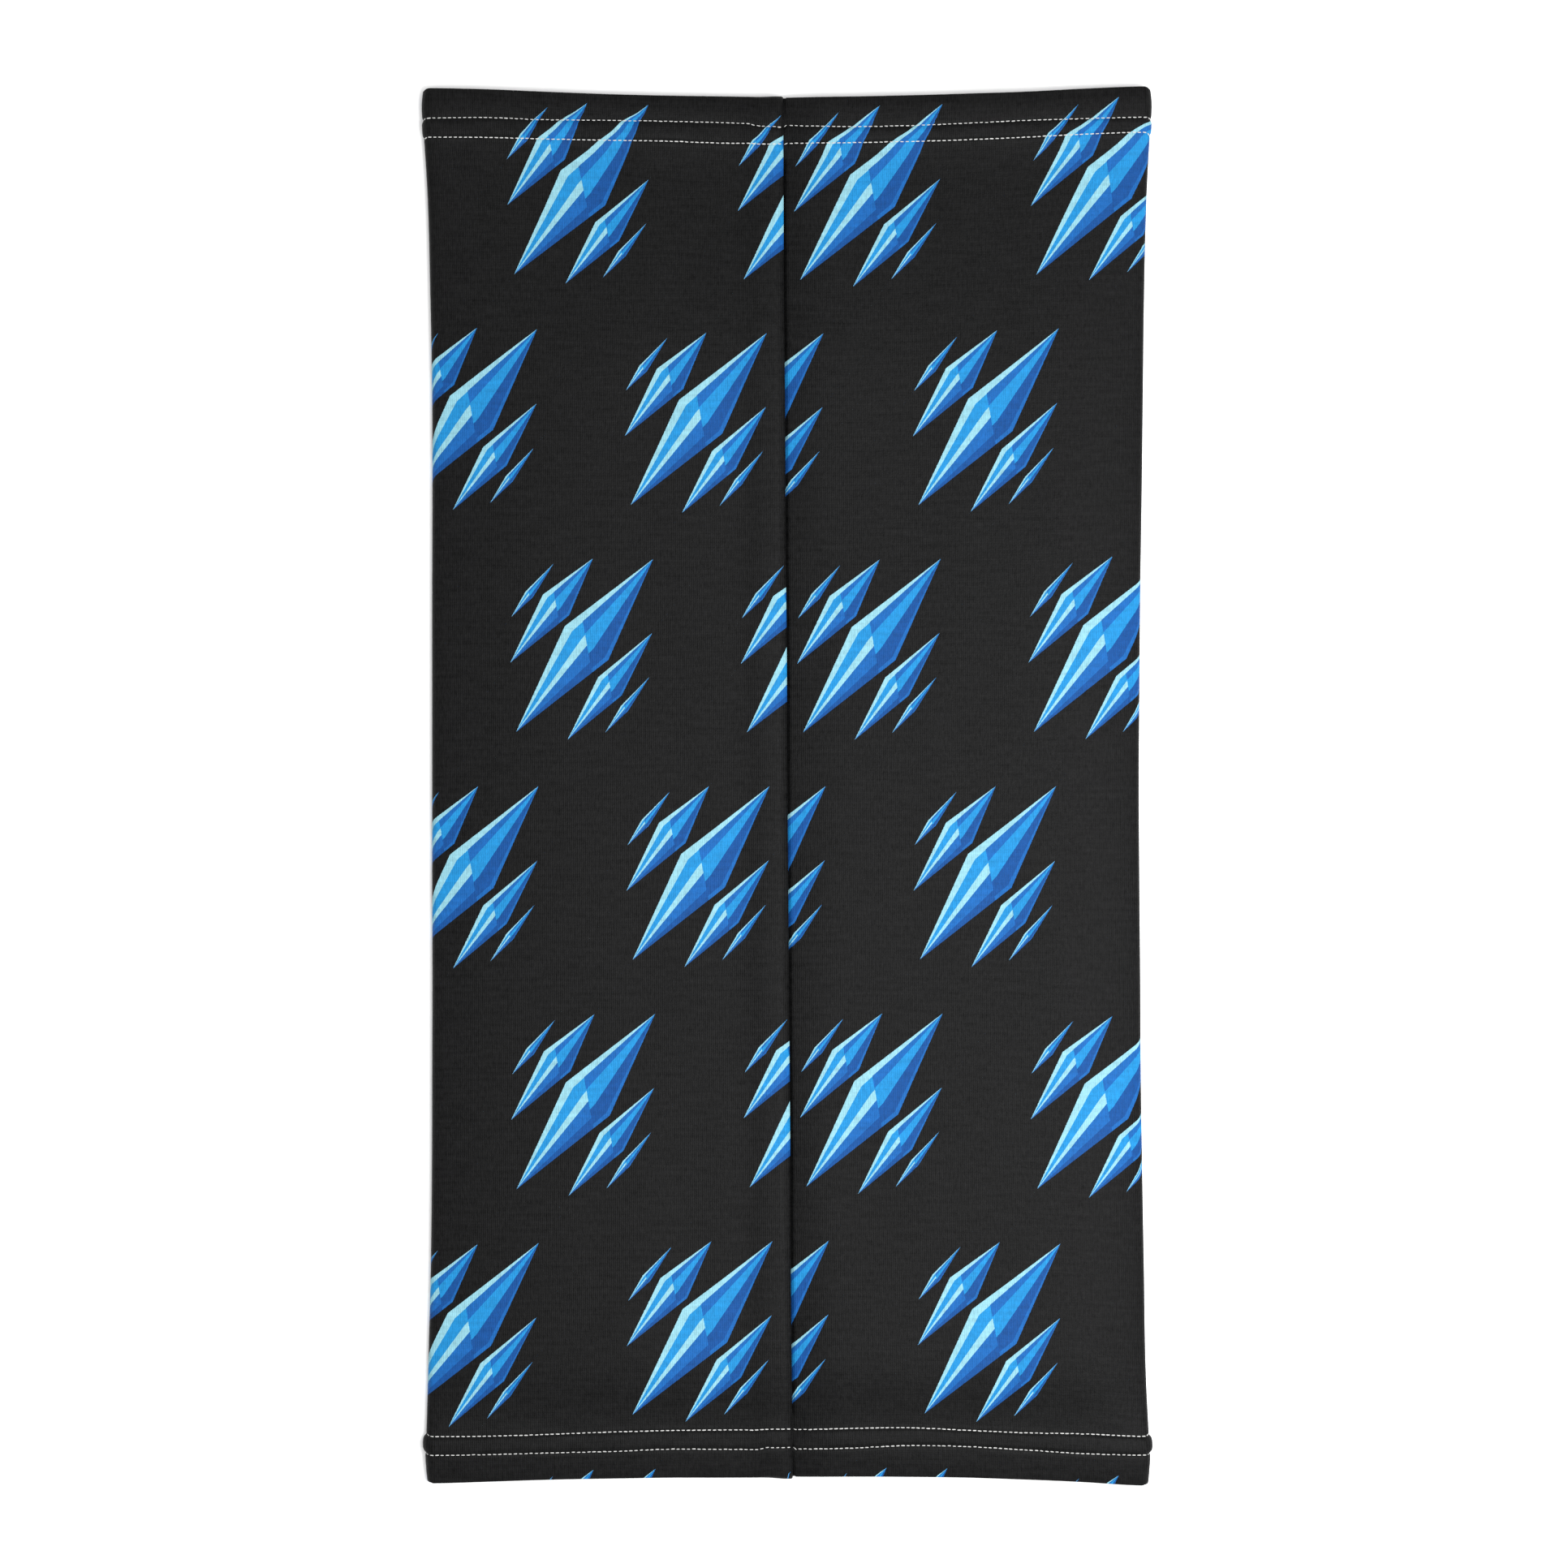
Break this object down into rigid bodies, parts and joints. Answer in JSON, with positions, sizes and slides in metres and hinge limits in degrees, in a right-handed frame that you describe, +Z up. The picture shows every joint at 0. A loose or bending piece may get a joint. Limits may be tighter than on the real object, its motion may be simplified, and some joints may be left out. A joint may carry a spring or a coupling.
{
  "type": "neck gaiter",
  "caption": "Tubular neck gaiter in thin stretch jersey, open at both ends, with a centre-back seam and coverstitched hems, lying flat.",
  "frame": {"origin": "centre of the footprint, on the surface that the gaiter lies on", "axes": "+Y along the tube towards the upper hem, +X across it, +Z up through its two layers, seam side up"},
  "size_m": [0.2552, 0.49, 0.0126],
  "materials": {
    "jersey": "matt black knitted jersey with a printed blue pattern",
    "sewing_thread": "light grey textured polyester thread"
  },
  "bodies": {
    "root": {"cloth_panel": "jersey", "upper_hem_outer_needle_thread": "sewing_thread", "upper_hem_inner_needle_thread": "sewing_thread", "upper_hem_looper_thread": "sewing_thread", "lower_hem_outer_needle_thread": "sewing_thread", "lower_hem_inner_needle_thread": "sewing_thread", "lower_hem_looper_thread": "sewing_thread", "seam_right_needle_thread": "sewing_thread", "seam_left_needle_thread": "sewing_thread", "seam_lower_looper_thread": "sewing_thread", "seam_upper_looper_thread": "sewing_thread"}
  },
  "joints": []
}
